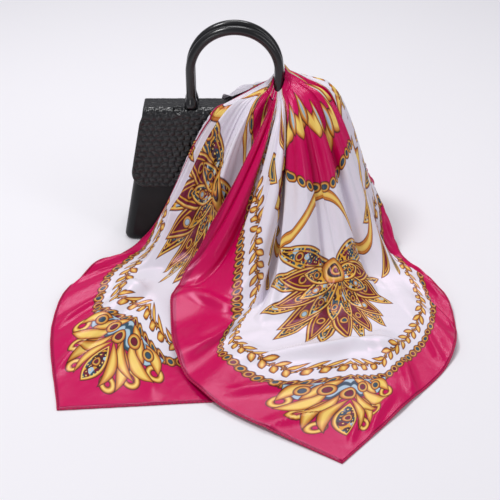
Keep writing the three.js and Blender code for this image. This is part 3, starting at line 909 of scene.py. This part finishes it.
sheets, hems, grids = {}, {}, {}
for name in ("outer", "left"):
    point, thread, flat = cloth(name)
    grids[name] = (point, thread, flat)
    faces = grid_faces(*point.shape[1:]).tolist()
    places = flat.reshape(2, -1).T * MM
    sheets[name] = mesh_object("scarf_" + name, point.reshape(3, -1).T, faces, places)
    thicken(sheets[name], 0.0005)
    dress(sheets[name], flat)
    hems[name] = hem_tube("hem_" + name, point, flat)
    hems[name].data.materials.append(hem_cloth)


COLLAR_RISE = 9  # how far the gathered cloth climbs towards the handles
COLLAR_DEPTH = 14  # how much of the flat square it takes up


def collar():
    """The gathered cloth between the falls and the legs of the handles."""
    turns, steps = 360, 9
    bearing = np.linspace(-90, 270, turns, endpoint=False)
    out = np.linspace(1, 0, steps)[:, None]
    gather = 0.5 * np.sin(np.radians(bearing * 23)) + 0.35 * np.sin(np.radians(bearing * 14 + 60))
    width = NECK["outer"] - NECK["inner"] - 0.2
    ring = ring_at(bearing, NECK["inner"] + 0.5 + width * out + gather * np.sin(np.pi * out) * 0.9)
    height = fall_height(bearing, ring_at(bearing, NECK["outer"]))
    height = height + COLLAR_RISE * (1 - out) ** 1.6 + gather * (0.4 + out * (1 - out))
    turn = np.radians(bearing)
    plan = np.array([NECK["x"] + ring * np.sin(turn), NECK["y"] - ring * np.cos(turn)])
    places = np.zeros((2, steps, turns))
    for name, low, high in (("outer", -20, 275), ("left", -90, -20)):
        point, thread, flat = grids[name]
        here = (bearing >= low) & (bearing < high)
        nearest = [np.argmin(np.abs(thread - b)) for b in bearing[here]]
        edge, inner = flat[:, 0, nearest], flat[:, 2, nearest]
        way = (edge - inner) / np.linalg.norm(edge - inner, axis=0)
        places[:, :, here] = edge[:, None] + way[:, None] * (1 - out) * COLLAR_DEPTH
    points = np.array([plan[0], plan[1], height]).reshape(3, -1).T
    faces = grid_faces(steps, turns, True)[:, ::-1].tolist()
    piece = mesh_object("neck_gather", points, faces, places.reshape(2, -1).T * MM)
    thicken(piece, 0.0006)
    dress(piece, places)
    return piece


neck = collar()


CORNER_STEPS = 10


def rounded_ring(width, depth, radius, z):
    ring = []
    for quarter, (sx, sy) in enumerate(((1, 1), (-1, 1), (-1, -1), (1, -1))):
        x, y = sx * (width / 2 - radius), sy * (depth / 2 - radius)
        for turn in np.linspace(0, np.pi / 2, CORNER_STEPS) + quarter * np.pi / 2:
            ring.append((x + radius * math.cos(turn), y + radius * math.sin(turn), z))
    return ring


def bag_shell():
    """The bag's body, narrower towards the top, with rounded corners and edges."""
    edge, top = BAG["edge"], BAG["height"]
    turns = [k / 8 * math.pi / 2 for k in range(8, -1, -1)]
    low = [(edge * (1 - math.sin(turn)), edge * (1 - math.cos(turn))) for turn in turns]
    high = [(top - z, inset) for z, inset in reversed(low)]
    rings = []
    for z, inset in low + [(z, 0) for z in np.linspace(2 * edge, top - 2 * edge, 12)] + high:
        width = bag_width(z) - 2 * inset
        depth = BAG["base_depth"] + (BAG["top_depth"] - BAG["base_depth"]) * min(z / top, 1) - 2 * inset
        rings += rounded_ring(width, depth, BAG["corner"] - inset, z)
    sides = 4 * CORNER_STEPS
    faces = grid_faces(len(rings) // sides, sides, True)[:, ::-1].tolist()
    faces += [list(range(sides))[::-1], [len(rings) - sides + k for k in range(sides)]]
    return mesh_object("bag_shell", np.array(rings), faces)


def scales(x, s):
    """The height of crocodile scales at a place on the flap, from 0 in the grooves to 1. Scales lie in shifted
    rows, and each place belongs to the nearest of their middles."""
    columns, rows = 80, 40
    shift = np.random.default_rng(4).uniform(-SCALE["shift"], SCALE["shift"], (columns, rows, 2))
    u, v = x / SCALE["wide"], s / SCALE["high"]
    best = np.full(x.shape, np.inf)
    second = np.full(x.shape, np.inf)
    for di in (-1, 0, 1):
        for dj in (-1, 0, 1):
            i = np.floor(u).astype(int) + di
            j = np.floor(v).astype(int) + dj
            jitter = shift[(i + columns // 2) % columns, (j + rows // 4) % rows]
            du = u - (i + 0.25 + 0.5 * (j % 2) + jitter[..., 0])
            dv = v - (j + 0.5 + jitter[..., 1] * 0.6)
            d = np.maximum(np.abs(du), np.abs(dv)) * 0.5 + 0.5 * np.hypot(du, dv)
            second = np.minimum(second, np.maximum(best, d))
            best = np.minimum(best, d)
    return np.clip((second - best - SCALE["groove"]) / SCALE["dome"], 0, 1) ** 0.5


def flap():
    """The embossed flap over the bag's top and down its front."""
    bend = BAG["edge"] + SEAM
    top_y, top_z = BAG["top_depth"] / 2 - 2, BAG["height"] + SEAM
    straight = top_y + BAG["top_depth"] / 2 - BAG["edge"] * (1 - math.sin(LEAN)) / math.cos(LEAN)
    arc = bend * (math.pi / 2 - LEAN)
    total = straight + arc + FLAP["drop"]
    s = np.linspace(0, total, 160)
    turn = np.clip((s - straight) / bend, 0, math.pi / 2 - LEAN)
    down = np.maximum(s - straight - arc, 0)
    y = top_y - np.minimum(s, straight) - bend * np.sin(turn) - down * math.sin(LEAN)
    z = top_z - bend + bend * np.cos(turn) - down * math.cos(LEAN)
    ny, nz = -np.sin(turn), np.cos(turn)
    left = FLAP["drop"] - down
    radius = FLAP["corner_radius"]
    inset = np.where(left < radius, radius - np.sqrt(np.maximum(radius**2 - (radius - left) ** 2, 0)), 0)
    half = bag_width(np.minimum(z, BAG["height"])) / 2 - 2 * (1 - ease(0, 12, down)) + FLAP["overlap"] - inset
    share = np.linspace(-1, 1, 290)
    x = half[:, None] * share
    s2 = np.broadcast_to(s[:, None], x.shape)
    edge = np.minimum(half[:, None] - np.abs(x), np.minimum(total - s2, s2 + 2))
    rim = ease(0.5, 3.5, edge)
    relief = SCALE["top"] + SCALE["front"] * ease(straight - 5, straight + 8, s2)
    out = FLAP["thickness"] - 1 + ease(0, 2.5, edge) - relief * rim * (1 - scales(x, s2))
    eye = np.hypot((x - EYELET["x"]) / EYELET["wide"], (s2 - top_y + EYELET["y"]) / EYELET["deep"])
    base = FLAP["thickness"] - EYELET["floor"]
    out = np.where(eye < 1.6, base + EYELET["rim"] * np.exp(-(((eye - 1.2) / 0.2) ** 2)), out)
    out -= base * ease(1.0, 0.8, eye)
    outer = np.array([x, y[:, None] + ny[:, None] * out, z[:, None] + nz[:, None] * out])
    inner = np.array([x, np.broadcast_to(y[:, None], x.shape), np.broadcast_to(z[:, None], x.shape)])
    rows, columns = x.shape
    n = rows * columns
    front = grid_faces(rows, columns)
    last_column = np.arange(1, rows) * columns + columns - 1
    first_column = (rows - 2 - np.arange(rows - 2)) * columns
    ring = np.concatenate([np.arange(columns), last_column, n - 1 - np.arange(1, columns), first_column])
    following = np.roll(ring, -1)
    rim_faces = np.stack([ring, following, following + n, ring + n], -1)
    faces = np.concatenate([front, front[:, ::-1] + n, rim_faces])
    points = np.concatenate([outer.reshape(3, -1).T, inner.reshape(3, -1).T])
    return mesh_object("flap_embossed", points, faces.tolist())


def handle(name, y):
    """One handle: two legs and an arch, with feet that widen to a tab."""
    half = HANDLE["span"] / 2
    foot = BAG["height"] + 2 * SEAM + FLAP["thickness"]
    spring = foot + HANDLE["height"] - half
    arch = np.linspace(math.pi, 0, 60)
    legs = np.linspace(foot, spring, 24, endpoint=False)
    path = [(-half, y, z) for z in legs]
    path += [(half * math.cos(t), y, spring + half * math.sin(t)) for t in arch]
    path += [(half, y, z) for z in legs[::-1]]
    path = np.array(path)
    flare = 1 + HANDLE["tab"] * ease(foot + HANDLE["tab_top"], foot + HANDLE["tab_end"], path[:, 2])
    return tube(name, path, HANDLE["radius"] * flare, sides=20, first=(0, 1, 0))


bag = {
    "shell": bag_shell(),
    "flap": flap(),
    "front": handle("handle_near", -HANDLE["apart"] / 2),
    "back": handle("handle_far", HANDLE["apart"] / 2),
}
for key, mat in zip(bag, (body_leather, croc_leather, handle_leather, handle_leather)):
    bag[key].data.materials.append(mat)

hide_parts("front_fall", "back_fall")
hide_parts("left_fall")
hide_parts("neck")
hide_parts("front_hem", "back_hem")
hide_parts("left_hem")
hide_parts("bag_body")
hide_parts("bag_flap")
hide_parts("handle_front")
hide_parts("handle_back")

# The floor, the light and the camera
floor_mesh = bpy.data.meshes.new("floor")
floor_mesh.from_pydata([(-7, -5, 0), (7, -5, 0), (7, 9, 0), (-7, 9, 0)], [], [(0, 1, 2, 3)])
floor = bpy.data.objects.new("floor", floor_mesh)
bpy.context.scene.collection.objects.link(floor)
pale, shader = new_material("floor_pale", 0.9, Specular_IOR_Level=0.1)
shader.inputs["Base Color"].default_value = colour((244, 242, 246))
floor.data.materials.append(pale)

world = bpy.data.worlds.new("studio")
bpy.context.scene.world = world
world.use_nodes = True
world.node_tree.nodes["Background"].inputs[0].default_value = (0.93, 0.93, 1.0, 1)
world.node_tree.nodes["Background"].inputs[1].default_value = 0.34


def soft_box(name, place, aim, size, watts):
    light = bpy.data.lights.new(name, "AREA")
    light.shape = "RECTANGLE"
    light.size, light.size_y = size
    light.energy = watts
    lamp = bpy.data.objects.new(name, light)
    bpy.context.scene.collection.objects.link(lamp)
    lamp.location = place
    way = np.array(aim) - np.array(place)
    tilt = math.acos(-way[2] / np.linalg.norm(way))
    lamp.rotation_euler = (tilt, 0, math.atan2(way[1], way[0]) - math.pi / 2)


soft_box("key", (-0.8, -0.2, 1.9), (0, -0.1, 0.1), (0.45, 0.45), 16.5)
soft_box("low", (-0.5, -1.5, 0.45), (-0.05, -0.05, 0.1), (0.4, 0.15), 1.7)
soft_box("fill", (1.3, -0.9, 1.0), (0, -0.1, 0.1), (0.4, 1.2), 4)
soft_box("top", (0.1, 0.9, 1.9), (0, 0, 0.1), (1.1, 0.3), 14)

camera = bpy.data.objects.new("camera", bpy.data.cameras.new("camera"))
bpy.context.scene.collection.objects.link(camera)
camera.location = (0.0195, -1.2233, 0.760)
camera.rotation_euler = (math.radians(56.5), 0, 0)
camera.data.lens = 73.44
camera.data.sensor_width = 36
bpy.context.scene.camera = camera
bpy.context.scene.view_settings.view_transform = "Standard"
